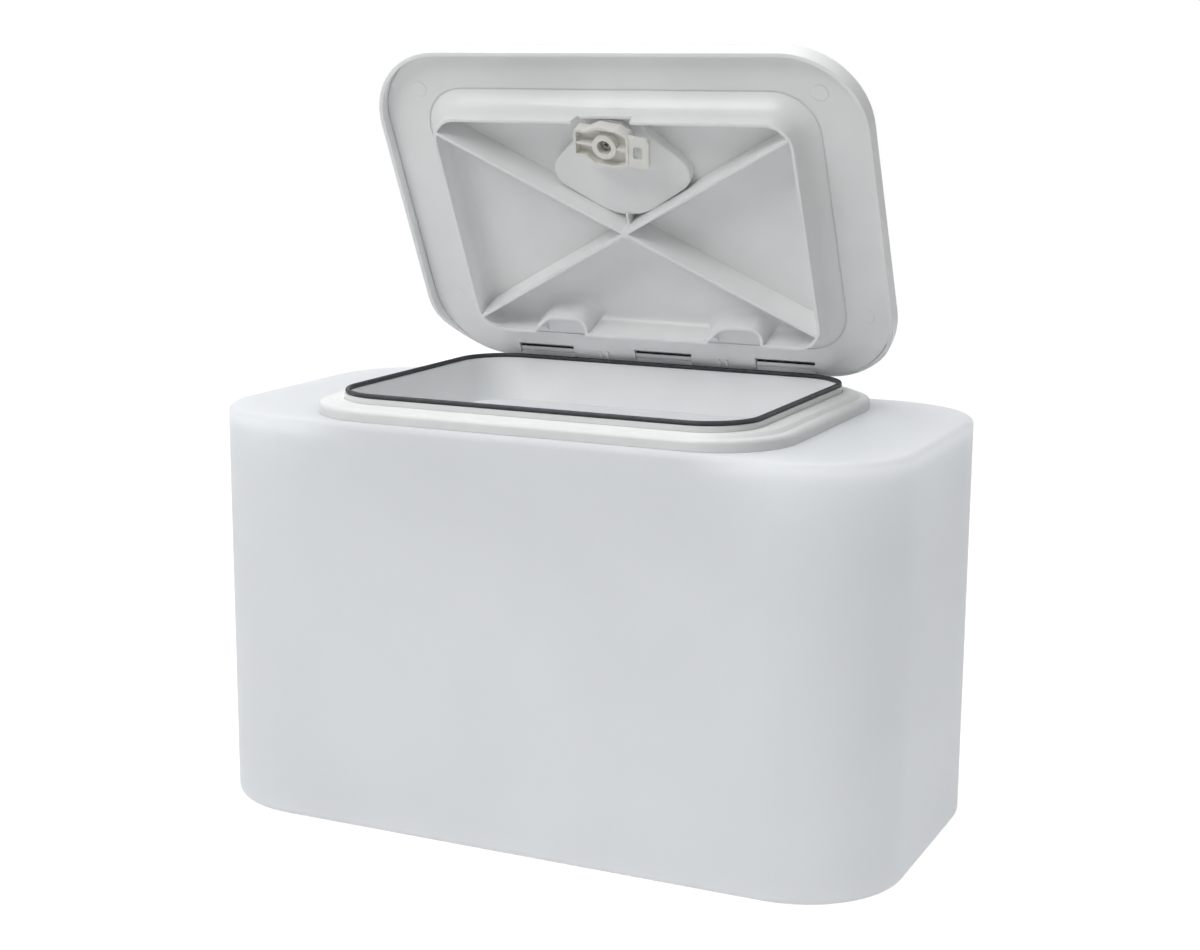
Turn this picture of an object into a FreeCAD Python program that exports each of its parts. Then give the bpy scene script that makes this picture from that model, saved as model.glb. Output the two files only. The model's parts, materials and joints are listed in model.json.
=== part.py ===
import FreeCAD, Part
import os
from math import atan2, cos, degrees, pi, sin, sqrt

# Live bait well: a moulded plastic tank with a hinged access hatch on top.
# Millimetres. X runs along the tank, +Y to the rear, +Z up.
# The origin is the middle of the tank's underside. The lid is drawn shut, then swung to where it stands.

os.makedirs("parts", exist_ok=True)
Vector = FreeCAD.Vector

# Tank
TANK_LENGTH = 506.0
TANK_DEPTH = 270.0
TANK_HEIGHT = 287.0
TANK_CORNER = 73.0
TANK_TOP_EDGE = 4.0
TANK_FOOT_EDGE = 5.5
TANK_INNER_EDGE = 2.0
TANK_WALL = 5.0
BOSS_PAD = 1.2

# Hatch frame, measured on the tank's top
HATCH_Y = 1.5
FLANGE_LENGTH = 350.0
FLANGE_MARGIN = 7.0
FLANGE_CORNER = 56.0
MOUTH_INSET_END = 25.5
MOUTH_INSET_SIDE = 15.0
MOUTH_CORNER = 36.0
COLLAR_WALL = 4.0
COLLAR_DROP = 19.0
COLLAR_GAP = 1.0
FLANGE_PLATE = 5.0
BEDDING = 1.5
BEDDING_INSET = 4.0
UPSTAND_RISE = 7.9
TRIM_LEG = 1.4
TRIM_GAP = 0.1
TRIM_LAND = 1.5
TRIM_STEP = 2.5
TRIM_STEP_INSET = 7.0
TRIM_ROUND = 3.0

# Lid seal, a round bulb on a key that sits in the upstand
SEAL_R = 1.6
SEAL_KEY = 1.6
SEAL_KEY_DROP = 1.8
SEAL_GAP = 0.4

# Screws that hold the frame down
SCREW_R = 1.75
SCREW_HEAD_R = 3.2
SCREW_LENGTH = 13.0
SCREW_SIDE_INSET = 8.0
SCREW_LONG_INSET = 5.5

# Hinges
HINGE_PITCH = 98.0
HINGE_INSET = 6.1
HINGE_RISE = 22.5
LUG_WIDTH = 46.0
LUG_THICK = 4.4
LUG_GAP = 0.4
BARREL_R = 3.5
ROD_R = 1.6
ROD_GAP = 0.05
CLIP_MOUTH = 2.7
CLIP_ANGLE = 38.0
EAR_WIDTH = 4.6
EYE_R = 3.2
LID_OPEN = 63.6

# Lid cover
LID_OVERHANG_END = 12.5
LID_OVERHANG_SIDE = 3.0
LID_CORNER = 58.0
LID_WALL = 3.0
LID_SKIN = 2.5
LID_EDGE = 7.5
LID_TOP = 6.4
LID_REAR = 6.5
LIP_DROP = 12.2
REAR_LIP_DROP = 3.0
REAR_LIP_END = 4.0
REAR_LIP_HALF = 160.0
BOSS_R = 5.0
BOSS_FROM_END = 34.5
BOSS_FROM_FRONT = 32.2
REAR_BOSS_FROM_END = 22.0
REAR_BOSS_FROM_REAR = 55.1

# Lid liner
LINER_PLATE = 2.6
LINER_GAP = 0.3
SLOT_FRONT = 6.0
BOX_INSET_END = 36.0
BOX_INSET_SIDE = 27.5
BOX_SHIFT = 3.5
BOX_SLOPE = 13.5
BOX_RIM_CORNER = 20.0
BOX_HEIGHT = 22.0
BOX_WALL = 2.6
BOX_DRAFT = 1.9
BOX_ROUND = 9.0
FOOT_GROOVE = 1.2
FOOT_GROOVE_DEPTH = 0.6
RIB_THICK = 2.4
RIB_FOOT = 4.6
RIB_HUB_R = 3.2
WEB_THICK = 1.6
WEB_REACH = 12.0
WEB_RISE = 4.0
MARK_R = 6.0
MARK_RISE = 0.2
POST_THICK = 1.6
POST_SPREAD = 3.0
POST_RISE = 1.5
POST_BACK = 2.5
POST_FRONT = 3.0

# Hollows in the back of the liner's box, over the hinges: rising from the left, steep on the right
COVE_LEFT_X = -91.9
COVE_RIGHT_X = 48.4
COVE_WIDTH = 42.1
COVE_SHOULDER = 13.8
COVE_FOOT_R = 2.0
COVE_SHOULDER_R = 19.0
COVE_CREST_R = 6.5
COVE_DEPTH = 13.8

# Notch in the front of the box for the cam
NOTCH_LEFT = 20.9
NOTCH_RIGHT = 20.8
NOTCH_LEAN = 4.0
NOTCH_CLEAR = 0.5

# Handle pocket
POCKET_FLOOR = 2.6
POCKET_DEPTH = 16.8
POCKET_R = 22.0
POCKET_WALL = 2.6
POCKET_ROUND = 1.5
PAN_TOP_HALF = 15.0
PAN_TOP_REACH = 12.0
PAN_TOP_R = 3.0
PAN_HALF = 61.4
PAN_HALF_REACH = 31.8
PAN_HALF_R = 14.5
PAN_TIP_REACH = 71.4
PAN_TIP_R = 41.0
BOSS_DROP = 6.0
BOSS_OUTER_R = 15.5

# Latch, turning about the hub
HUB_INSET = 31.5
HANDLE_R = 21.0
HANDLE_PLATE = 3.0
HANDLE_GAP = 0.5
HANDLE_ROUND = 1.0
GRIP_LENGTH = 38.0
GRIP_WIDTH = 11.0
GRIP_TAPER = 1.5
SPINDLE_R = 4.0
SPINDLE_GAP = 0.05
SPINDLE_SQUARE = 5.6
BUSH_WALL = 2.0
BUSH_FLANGE_R = 9.0
BUSH_FLANGE = 1.2
O_RING_R = 0.75
WASHER_R = 8.0
WASHER_THICK = 1.0
WASHER_GAP = 0.3
CAM_FLOOR = 2.5
CAM_HEIGHT = 9.5
CAM_WALL = 1.8
CAM_HUB_R = 9.0
CAM_WELL_R = 5.25
CAM_HEAD_X = 18.0
CAM_HEAD_HALF = 11.5
CAM_WAIST_X = 9.0
CAM_WAIST_HALF = 15.0
CAM_WAIST_R = 7.0
CAM_BACK_X = 7.0
CAM_NECK_X = 14.0
CAM_NECK_R = 5.0
CAM_TAIL_X = 23.0
CAM_TAIL_HALF = 10.5
CAM_TAIL_R = 2.5
CAM_SPINE = 2.0
CAM_SPINE_LOW = 0.5
CAM_REACH = 33.0
CAM_TAB = 3.5
CAM_TAB_R = 3.5
CAM_TAB_ROOT = 1.5
CAM_TAB_DROP = 0.5
WINDOW_X = 25.0
WINDOW_HALF_X = 3.5
WINDOW_HALF = 5.0
WINDOW_R = 2.4
CAM_TILT = 10.0
CAM_SCREW_R = 2.0
CAM_SCREW_HEAD_R = 4.2
CAM_SCREW_HEAD = 2.2
CAM_SCREW_CHAMFER = 0.8
CAM_SCREW_LENGTH = 10.5

# Keeper under which the cam's tab turns
KEEPER_LENGTH = 56.0
KEEPER_REACH = 15.5
KEEPER_THICK = 4.0
KEEPER_GAP = 0.3

# Plumbing on the rear wall
FITTING_FROM_CORNER = 30.0
INLET_Z = 62.0
INLET_TAIL_R = 9.5
OVERFLOW_FROM_TOP = 55.0
OVERFLOW_TAIL_R = 14.0
TAIL_WALL = 2.0
TAIL_LAND = 14.0
BARB_PITCH = 5.0
BARB_DEPTH = 0.8
BARBS = 3
BARREL_WALL = 3.5
FITTING_GAP = 0.3
FITTING_FLANGE = 4.0
FITTING_LIP = 7.0
FITTING_WASHER = 2.0
NUT_THICK = 9.0
NUT_WALL = 5.0
STRAINER_LENGTH = 32.0
STRAINER_WALL = 2.0
STRAINER_SLOTS = 8
STRAINER_SLOT = 4.0
DRAIN_Z = 36.0
DRAIN_BORE_R = 12.0
BUNG_GAP = 0.06
BUNG_LENGTH = 20.0
BUNG_HEAD_R = 17.0
BUNG_HEAD = 4.0
BUNG_GRIP = 12.0
BUNG_GRIP_THICK = 6.0

# Sizes that follow from the ones above
FLANGE_DEPTH = TANK_DEPTH - 2 * FLANGE_MARGIN
MOUTH_LENGTH = FLANGE_LENGTH - 2 * MOUTH_INSET_END
MOUTH_DEPTH = FLANGE_DEPTH - 2 * MOUTH_INSET_SIDE
HINGE_Y = HATCH_Y + FLANGE_DEPTH / 2 - HINGE_INSET
LID_LENGTH = FLANGE_LENGTH + 2 * LID_OVERHANG_END
LID_DEPTH = FLANGE_DEPTH + 2 * LID_OVERHANG_SIDE
BOX_FOOT_LENGTH = LID_LENGTH - 2 * BOX_INSET_END
BOX_FOOT_DEPTH = LID_DEPTH - 2 * BOX_INSET_SIDE
BOX_MIDDLE = LID_DEPTH / 2 - LID_REAR - BOX_SHIFT
HUB_REACH = BOX_MIDDLE + BOX_FOOT_DEPTH / 2 - HUB_INSET
INLET_X = -(TANK_LENGTH / 2 - TANK_CORNER - FITTING_FROM_CORNER)
OVERFLOW_X = -INLET_X
OVERFLOW_Z = TANK_HEIGHT - OVERFLOW_FROM_TOP
HINGE_Z = TANK_HEIGHT + HINGE_RISE
FLANGE_Z = TANK_HEIGHT + BEDDING
FLANGE_TOP = FLANGE_Z + FLANGE_PLATE
UPSTAND_TOP = FLANGE_TOP + UPSTAND_RISE
SEAL_Z = UPSTAND_TOP + SEAL_R
REAR_WALL = TANK_DEPTH / 2
LID_Y = HINGE_Y + LID_REAR - LID_DEPTH / 2
LINER_FACE = HINGE_Z - (SEAL_Z + SEAL_R + SEAL_GAP)
LINER_BACK = LINER_FACE - LINER_PLATE
SKIN_UNDER = LID_SKIN - LID_TOP
RIM_FACE = LINER_FACE + BOX_HEIGHT
POCKET_TOP = POCKET_DEPTH - LID_TOP
PAN_FACE = POCKET_TOP + POCKET_FLOOR
BOSS_FACE = PAN_FACE + BOSS_DROP
BUSH_END = BOSS_FACE + BUSH_FLANGE
CAM_BACK = BUSH_END + WASHER_GAP + WASHER_THICK
CAM_FACE = CAM_BACK + CAM_HEIGHT
TAB_BACK = RIM_FACE + CAM_TAB_DROP
HINGE_PLACES = {"left": -HINGE_PITCH, "middle": 0.0, "right": HINGE_PITCH}


def rounded_wire(length, depth, radius, z, y=0.0):
    """Round-cornered rectangle, centred on x = 0 and on y, at height z."""
    near = radius * (1 - sqrt(0.5))
    corners = []
    for side_x, side_y in ((1, 1), (-1, 1), (-1, -1), (1, -1)):
        on_end = (side_x * length / 2, side_y * (depth / 2 - radius))
        middle = (side_x * (length / 2 - near), side_y * (depth / 2 - near))
        on_side = (side_x * (length / 2 - radius), side_y * depth / 2)
        turn = [on_end, middle, on_side]
        if side_x * side_y < 0:
            turn.reverse()
        corners.append([Vector(px, y + py, z) for px, py in turn])
    edges = []
    for index, corner in enumerate(corners):
        following = corners[(index + 1) % 4]
        edges.append(Part.Arc(*corner).toShape())
        edges.append(Part.makeLine(corner[2], following[0]))
    return Part.Wire(edges)


def rounded_block(length, depth, radius, z_low, z_high, y=0.0):
    face = Part.Face(rounded_wire(length, depth, radius, z_low, y))
    return face.extrude(Vector(0, 0, z_high - z_low))


def rounded_polygon(corners, z):
    """Closed outline through (x, y, radius) corners at height z."""
    edges = []
    last = None
    first = None
    count = len(corners)
    for index, (x, y, radius) in enumerate(corners):
        before = corners[index - 1]
        after = corners[(index + 1) % count]
        into = Vector(x - before[0], y - before[1], 0).normalize()
        out = Vector(after[0] - x, after[1] - y, 0).normalize()
        turn = into.getAngle(out)
        trim = radius * sin(turn / 2) / cos(turn / 2)
        point = Vector(x, y, z)
        inward = (out - into).normalize()
        start = point - into * trim
        end = point + out * trim
        middle = point + inward * (radius / cos(turn / 2) - radius)
        if last is not None:
            edges.append(Part.makeLine(last, start))
        else:
            first = start
        edges.append(Part.Arc(start, middle, end).toShape())
        last = end
    edges.append(Part.makeLine(last, first))
    return Part.Wire(edges)


def level_edges(shape, *heights):
    """Edges of a shape that lie flat at one of the heights."""
    found = []
    for edge in shape.Edges:
        box = edge.BoundBox
        for height in heights:
            if abs(box.ZMin - height) < 0.001 and abs(box.ZMax - height) < 0.001:
                found.append(edge)
    return found


def box_between(x_low, x_high, y_low, y_high, z_low, z_high):
    size = (x_high - x_low, y_high - y_low, z_high - z_low)
    return Part.makeBox(*size, Vector(x_low, y_low, z_low))


def turned(profile, place, direction):
    """Solid of revolution from (radius, distance) points about a line from place."""
    points = [Vector(radius, 0, distance) for radius, distance in profile]
    face = Part.Face(Part.makePolygon(points + points[:1]))
    solid = face.revolve(Vector(0, 0, 0), Vector(0, 0, 1), 360)
    solid.Placement = FreeCAD.Placement(place, FreeCAD.Rotation(Vector(0, 0, 1), direction))
    return solid


def joined(shapes):
    """One solid from touching pieces."""
    whole = shapes[0].fuse(shapes[1:])
    return whole.removeSplitter()


def lid_box(x_low, x_high, reach_low, reach_high, drop_low, drop_high):
    """Box in the shut lid: reach runs forward from the hinge line, drop runs down from it."""
    return box_between(
        x_low,
        x_high,
        HINGE_Y - reach_high,
        HINGE_Y - reach_low,
        HINGE_Z - drop_high,
        HINGE_Z - drop_low,
    )


def lid_disc(radius, reach, drop_low, drop_high, x=0.0):
    """Upright cylinder in the shut lid."""
    base = Vector(x, HINGE_Y - reach, HINGE_Z - drop_high)
    return Part.makeCylinder(radius, drop_high - drop_low, base)


def lid_prism(wire_corners, inset, drop_low, drop_high):
    """Prism in the shut lid on an outline of (x, reach, radius) corners, drawn in by inset."""
    corners = [(x, HINGE_Y - reach, radius) for x, reach, radius in wire_corners]
    face = Part.Face(rounded_polygon(corners, HINGE_Z - drop_high))
    if inset:
        face = face.makeOffset2D(-inset)
    return face.extrude(Vector(0, 0, drop_high - drop_low))


def swung(shape):
    """Turns a piece of the shut lid to where the lid stands open."""
    shape.rotate(Vector(0, HINGE_Y, HINGE_Z), Vector(1, 0, 0), -LID_OPEN)
    return shape


def save(name, shape):
    shape.exportStep("parts/" + name + ".step")


def screw_places():
    """Places of the frame's screws, between the hinges and the corners."""
    side_x = FLANGE_LENGTH / 2 - SCREW_SIDE_INSET
    side_y = FLANGE_DEPTH / 2 - SCREW_LONG_INSET
    corner_x = FLANGE_LENGTH / 2 - FLANGE_CORNER
    corner_y = FLANGE_DEPTH / 2 - FLANGE_CORNER
    corner_reach = (FLANGE_CORNER - (SCREW_SIDE_INSET + SCREW_LONG_INSET) / 2) * sqrt(0.5)
    places = []
    for side in (-1, 1):
        places.append((side * side_x, HATCH_Y + corner_y / 2))
        places.append((side * side_x, HATCH_Y - corner_y / 2))
        places.append((side * HINGE_PITCH / 2, HATCH_Y + side_y))
        places.append((side * corner_x / 3, HATCH_Y - side_y))
        places.append((side * corner_x, HATCH_Y - side_y))
        for end in (-1, 1):
            corner = (side * (corner_x + corner_reach), HATCH_Y + end * (corner_y + corner_reach))
            places.append(corner)
    return places


def fitting_places():
    """Centre and hole radius of each fitting in the rear wall."""
    return [
        (INLET_X, INLET_Z, barrel_radius(INLET_TAIL_R)),
        (OVERFLOW_X, OVERFLOW_Z, barrel_radius(OVERFLOW_TAIL_R)),
        (0.0, DRAIN_Z, DRAIN_BORE_R + BARREL_WALL),
    ]


def barrel_radius(tail_radius):
    return tail_radius + BARREL_WALL


def tank_shell():
    outer = rounded_block(TANK_LENGTH, TANK_DEPTH, TANK_CORNER, 0, TANK_HEIGHT)
    outer = outer.makeFillet(TANK_TOP_EDGE, level_edges(outer, TANK_HEIGHT))
    outer = outer.makeFillet(TANK_FOOT_EDGE, level_edges(outer, 0))
    floor = TANK_WALL
    ceiling = TANK_HEIGHT - TANK_WALL
    inner_length = TANK_LENGTH - 2 * TANK_WALL
    inner_depth = TANK_DEPTH - 2 * TANK_WALL
    inner = rounded_block(inner_length, inner_depth, TANK_CORNER - TANK_WALL, floor, ceiling)
    inner = inner.makeFillet(TANK_INNER_EDGE, level_edges(inner, floor, ceiling))
    spread = 2 * (COLLAR_WALL + COLLAR_GAP)
    mouth = rounded_block(
        MOUTH_LENGTH + spread,
        MOUTH_DEPTH + spread,
        MOUTH_CORNER + spread / 2,
        ceiling - TANK_WALL,
        TANK_HEIGHT + TANK_WALL,
        HATCH_Y,
    )
    shell = outer.cut(inner).cut(mouth)
    pads = []
    holes = []
    for x, z, radius in fitting_places():
        pad_radius = radius + FITTING_LIP + NUT_WALL
        pads.append(Part.makeCylinder(pad_radius, BOSS_PAD, Vector(x, REAR_WALL, z), Vector(0, 1, 0)))
        through = TANK_WALL + BOSS_PAD + 2
        start = Vector(x, REAR_WALL - TANK_WALL - 1, z)
        holes.append(Part.makeCylinder(radius + FITTING_GAP, through, start, Vector(0, 1, 0)))
    shell = joined([shell] + pads).cut(holes)
    pilots = []
    for x, y in screw_places():
        start = Vector(x, y, ceiling - 1)
        pilots.append(Part.makeCylinder(SCREW_R, TANK_WALL + 2, start))
    return shell.cut(pilots)


def frame_bedding_seal():
    """Flat gasket between the flange and the tank."""
    spread = 2 * (COLLAR_WALL + COLLAR_GAP)
    outer = rounded_block(
        FLANGE_LENGTH - 2 * BEDDING_INSET,
        FLANGE_DEPTH - 2 * BEDDING_INSET,
        FLANGE_CORNER - BEDDING_INSET,
        TANK_HEIGHT,
        FLANGE_Z,
        HATCH_Y,
    )
    inner = rounded_block(
        MOUTH_LENGTH + spread,
        MOUTH_DEPTH + spread,
        MOUTH_CORNER + spread / 2,
        TANK_HEIGHT - 1,
        FLANGE_Z + 1,
        HATCH_Y,
    )
    holes = []
    for x, y in screw_places():
        holes.append(Part.makeCylinder(SCREW_R, BEDDING + 2, Vector(x, y, TANK_HEIGHT - 1)))
    return outer.cut(inner).cut(holes)


def collar_block(spread, z_low, z_high):
    """Block on the mouth's outline, grown by spread on every side."""
    return rounded_block(
        MOUTH_LENGTH + 2 * spread,
        MOUTH_DEPTH + 2 * spread,
        MOUTH_CORNER + spread,
        z_low,
        z_high,
        HATCH_Y,
    )


def flange_block(inset, z_low, z_high):
    """Block on the flange's outline, drawn in by inset."""
    return rounded_block(
        FLANGE_LENGTH - 2 * inset,
        FLANGE_DEPTH - 2 * inset,
        FLANGE_CORNER - inset,
        z_low,
        z_high,
        HATCH_Y,
    )


def hinge_lug(x):
    """Upright tongue of the frame that ends in an open clip for the rod."""
    web = box_between(
        x - LUG_WIDTH / 2,
        x + LUG_WIDTH / 2,
        HINGE_Y - LUG_THICK / 2,
        HINGE_Y + LUG_THICK / 2,
        FLANGE_Z,
        HINGE_Z,
    )
    start = Vector(x - LUG_WIDTH / 2, HINGE_Y, HINGE_Z)
    barrel = Part.makeCylinder(BARREL_R, LUG_WIDTH, start, Vector(1, 0, 0))
    bore = Part.makeCylinder(ROD_R + ROD_GAP, LUG_WIDTH + 2, start - Vector(1, 0, 0), Vector(1, 0, 0))
    mouth = box_between(
        x - LUG_WIDTH / 2 - 1,
        x + LUG_WIDTH / 2 + 1,
        HINGE_Y - 2 * BARREL_R,
        HINGE_Y,
        HINGE_Z - CLIP_MOUTH / 2,
        HINGE_Z + CLIP_MOUTH / 2,
    )
    mouth.rotate(Vector(0, HINGE_Y, HINGE_Z), Vector(1, 0, 0), -CLIP_ANGLE)
    return joined([web, barrel]).cut([bore, mouth])


def keeper():
    """Shelf on the front of the collar, with a rib at each end, that the cam's tab turns under."""
    front = HATCH_Y - MOUTH_DEPTH / 2
    under = HINGE_Z - TAB_BACK + KEEPER_GAP
    top = under + KEEPER_THICK
    shelf = box_between(
        -KEEPER_LENGTH / 2,
        KEEPER_LENGTH / 2,
        front - COLLAR_WALL / 2,
        front + KEEPER_REACH,
        under,
        top,
    )
    ribs = []
    for x in (-KEEPER_LENGTH / 2, -RIB_THICK / 2, KEEPER_LENGTH / 2 - RIB_THICK):
        corners = [
            Vector(x, front - COLLAR_WALL / 2, top),
            Vector(x, front + KEEPER_REACH * 0.6, top),
            Vector(x, front, top + KEEPER_REACH * 0.6),
            Vector(x, front - COLLAR_WALL / 2, top + KEEPER_REACH * 0.6),
        ]
        rib = Part.Face(Part.makePolygon(corners + corners[:1]))
        ribs.append(rib.extrude(Vector(RIB_THICK, 0, 0)))
    return [shelf] + ribs


def hatch_frame():
    flange = flange_block(TRIM_LEG + TRIM_GAP, FLANGE_Z, FLANGE_TOP)
    upstand = collar_block(COLLAR_WALL, TANK_HEIGHT - COLLAR_DROP, UPSTAND_TOP)
    opening = collar_block(0, TANK_HEIGHT - COLLAR_DROP - 1, UPSTAND_TOP + 1)
    ring = joined([flange, upstand]).cut(opening)
    key_middle = COLLAR_WALL / 2
    key_floor = UPSTAND_TOP - SEAL_KEY_DROP
    groove = collar_block(key_middle + SEAL_KEY / 2, key_floor, UPSTAND_TOP + 1)
    groove = groove.cut(collar_block(key_middle - SEAL_KEY / 2, key_floor - 1, UPSTAND_TOP + 2))
    ring = ring.cut(groove)
    lugs = [hinge_lug(x) for x in HINGE_PLACES.values()]
    frame = joined([ring] + lugs + keeper())
    countersinks = []
    head_depth = SCREW_HEAD_R - SCREW_R
    for x, y in screw_places():
        countersinks.append(Part.makeCylinder(SCREW_R, FLANGE_PLATE + 1, Vector(x, y, FLANGE_Z - 1)))
        base = Vector(x, y, FLANGE_TOP - head_depth)
        countersinks.append(Part.makeCone(SCREW_R, SCREW_HEAD_R, head_depth, base))
    return frame.cut(countersinks)


def frame_screws():
    """Countersunk screws through the flange and its gasket into the tank."""
    head = SCREW_HEAD_R - SCREW_R
    profile = [
        (0, -SCREW_LENGTH),
        (SCREW_R, -SCREW_LENGTH + 2 * SCREW_R),
        (SCREW_R, -head),
        (SCREW_HEAD_R, 0),
        (0, 0),
    ]
    screws = [turned(profile, Vector(x, y, FLANGE_TOP), Vector(0, 0, 1)) for x, y in screw_places()]
    return Part.makeCompound(screws)


def frame_trim_ring():
    """Snap-on ring that hides the screws: a rounded edge, a low land, then a raised land."""
    low_land = FLANGE_TOP + TRIM_LAND
    high_land = low_land + TRIM_STEP
    ring = flange_block(0, TANK_HEIGHT, low_land)
    ring = ring.makeFillet(TRIM_ROUND, level_edges(ring, low_land))
    step_wires = []
    for inset, z in ((TRIM_STEP_INSET, low_land), (TRIM_STEP_INSET + TRIM_STEP, high_land)):
        length = FLANGE_LENGTH - 2 * inset
        depth = FLANGE_DEPTH - 2 * inset
        step_wires.append(rounded_wire(length, depth, FLANGE_CORNER - inset, z, HATCH_Y))
    step = Part.makeLoft(step_wires, True, True)
    ring = joined([ring, step])
    seat = flange_block(TRIM_LEG, TANK_HEIGHT - 1, FLANGE_TOP)
    opening = collar_block(COLLAR_WALL + LINER_GAP, TANK_HEIGHT - 1, high_land + 1)
    slots = []
    for x in HINGE_PLACES.values():
        slots.append(
            box_between(
                x - LUG_WIDTH / 2 - LUG_GAP,
                x + LUG_WIDTH / 2 + LUG_GAP,
                HATCH_Y + MOUTH_DEPTH / 2,
                HINGE_Y + LUG_THICK / 2 + LUG_GAP,
                TANK_HEIGHT - 1,
                high_land + 1,
            )
        )
    return ring.cut([seat, opening] + slots)


def lid_seal():
    """Black bulb seal all round the upstand."""
    middle = COLLAR_WALL / 2
    length = MOUTH_LENGTH + 2 * middle
    depth = MOUTH_DEPTH + 2 * middle
    path = rounded_wire(length, depth, MOUTH_CORNER + middle, SEAL_Z, HATCH_Y)
    start = Vector(length / 2, HATCH_Y + depth / 2 - MOUTH_CORNER - middle, SEAL_Z)
    circle = Part.Wire(Part.Circle(start, Vector(0, 1, 0), SEAL_R).toShape())
    bulb = path.makePipeShell([circle], True, True)
    key_low = UPSTAND_TOP - SEAL_KEY_DROP
    key = collar_block(middle + SEAL_KEY / 2, key_low, SEAL_Z)
    key = key.cut(collar_block(middle - SEAL_KEY / 2, key_low - 1, SEAL_Z + 1))
    return joined([bulb, key])


def hinge_rod(x):
    """Black rod held in the lid's ears, turning in the frame's clip."""
    half = LUG_WIDTH / 2 + LUG_GAP + EAR_WIDTH
    rod = Part.makeCylinder(ROD_R, 2 * half, Vector(x - half, HINGE_Y, HINGE_Z), Vector(1, 0, 0))
    return swung(rod)


def pan_corners():
    """Outline of the handle pocket, widest across its middle and drawn in to the hub."""
    top = (PAN_TOP_HALF, HUB_REACH + PAN_TOP_REACH, PAN_TOP_R)
    side = (PAN_HALF, HUB_REACH - PAN_HALF_REACH, PAN_HALF_R)
    tip = (0.0, HUB_REACH - PAN_TIP_REACH, PAN_TIP_R)
    other_side = (-side[0], side[1], side[2])
    other_top = (-top[0], top[1], top[2])
    return [top, side, tip, other_side, other_top]


def pocket_void(drop_low):
    """Space inside the pocket from its floor up."""
    kite = lid_prism(pan_corners(), POCKET_WALL, drop_low, POCKET_TOP)
    well = lid_disc(POCKET_R, HUB_REACH, drop_low, POCKET_TOP)
    return joined([kite, well])


def mark_places():
    """Round marks on the liner's face, where the cover's bosses stand on its back."""
    front_x = LID_LENGTH / 2 - BOSS_FROM_END
    front = LID_DEPTH - LID_REAR - BOSS_FROM_FRONT
    rear_x = LID_LENGTH / 2 - REAR_BOSS_FROM_END
    rear = REAR_BOSS_FROM_REAR - LID_REAR
    return [(-front_x, front), (front_x, front), (-rear_x, rear), (rear_x, rear)]


def lid_cover():
    """Outer shell of the lid."""
    lip = HINGE_Z - LIP_DROP
    top = HINGE_Z + LID_TOP
    under = HINGE_Z - SKIN_UNDER
    outer = rounded_block(LID_LENGTH, LID_DEPTH, LID_CORNER, lip, top, LID_Y)
    outer = outer.makeFillet(LID_EDGE, level_edges(outer, top))
    inner = rounded_block(
        LID_LENGTH - 2 * LID_WALL,
        LID_DEPTH - 2 * LID_WALL,
        LID_CORNER - LID_WALL,
        lip - 1,
        under,
        LID_Y,
    )
    inner = inner.makeFillet(LID_EDGE - 1.5 * LID_WALL, level_edges(inner, under))
    bosses = [lid_disc(BOSS_R, reach, SKIN_UNDER, LINER_BACK, x) for x, reach in mark_places()]
    cover = joined([outer.cut(inner)] + bosses)
    slope_end = REAR_LIP_END + (LIP_DROP - REAR_LIP_DROP) / 1.5
    corners = [
        Vector(-REAR_LIP_HALF, HINGE_Y + 2 * LID_REAR, HINGE_Z - REAR_LIP_DROP),
        Vector(-REAR_LIP_HALF, HINGE_Y - REAR_LIP_END, HINGE_Z - REAR_LIP_DROP),
        Vector(-REAR_LIP_HALF, HINGE_Y - slope_end, lip),
        Vector(-REAR_LIP_HALF, HINGE_Y - slope_end, lip - LIP_DROP),
        Vector(-REAR_LIP_HALF, HINGE_Y + 2 * LID_REAR, lip - LIP_DROP),
    ]
    short_lip = Part.Face(Part.makePolygon(corners + corners[:1]))
    cuts = [short_lip.extrude(Vector(2 * REAR_LIP_HALF, 0, 0))]
    half = LUG_WIDTH / 2 + LUG_GAP
    for x in HINGE_PLACES.values():
        cuts.append(lid_box(x - half, x + half, -2 * LID_REAR, LID_WALL, SKIN_UNDER, LIP_DROP))
    cuts.append(pocket_void(-LID_TOP - 1))
    return swung(cover.cut(cuts))


def box_wire(drop, inset):
    """Section of the liner's raised box, drawn in from its foot, at a drop below the hinge line."""
    shrink = 2 * inset
    corner = BOX_RIM_CORNER + BOX_SLOPE - inset
    y = HINGE_Y - BOX_MIDDLE
    return rounded_wire(BOX_FOOT_LENGTH - shrink, BOX_FOOT_DEPTH - shrink, corner, HINGE_Z - drop, y)


def box_outside():
    """Outside of the box: it leaves the plate in a flat sweep and ends in a steep wall."""
    wires = []
    for share in (0.0, 0.05, 0.12, 0.22, 0.36, 0.6, 1.0):
        sweep = FOOT_GROOVE + (BOX_SLOPE - FOOT_GROOVE) * (1 - (1 - share) ** 3)
        wires.append(box_wire(LINER_FACE + share * BOX_HEIGHT, sweep))
    return Part.makeLoft(wires, True, True)


def void_steps():
    """(drop, how far the wall's foot is rounded out there) from the box's floor up past its rim."""
    steps = []
    for share in (0.0, 0.04, 0.14, 0.3, 0.55, 1.0):
        height = share * BOX_ROUND
        rounding = BOX_ROUND - sqrt(BOX_ROUND**2 - (BOX_ROUND - height) ** 2)
        steps.append((LINER_FACE + height, rounding))
    steps.append((RIM_FACE + BOX_WALL, 0.0))
    return steps


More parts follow.
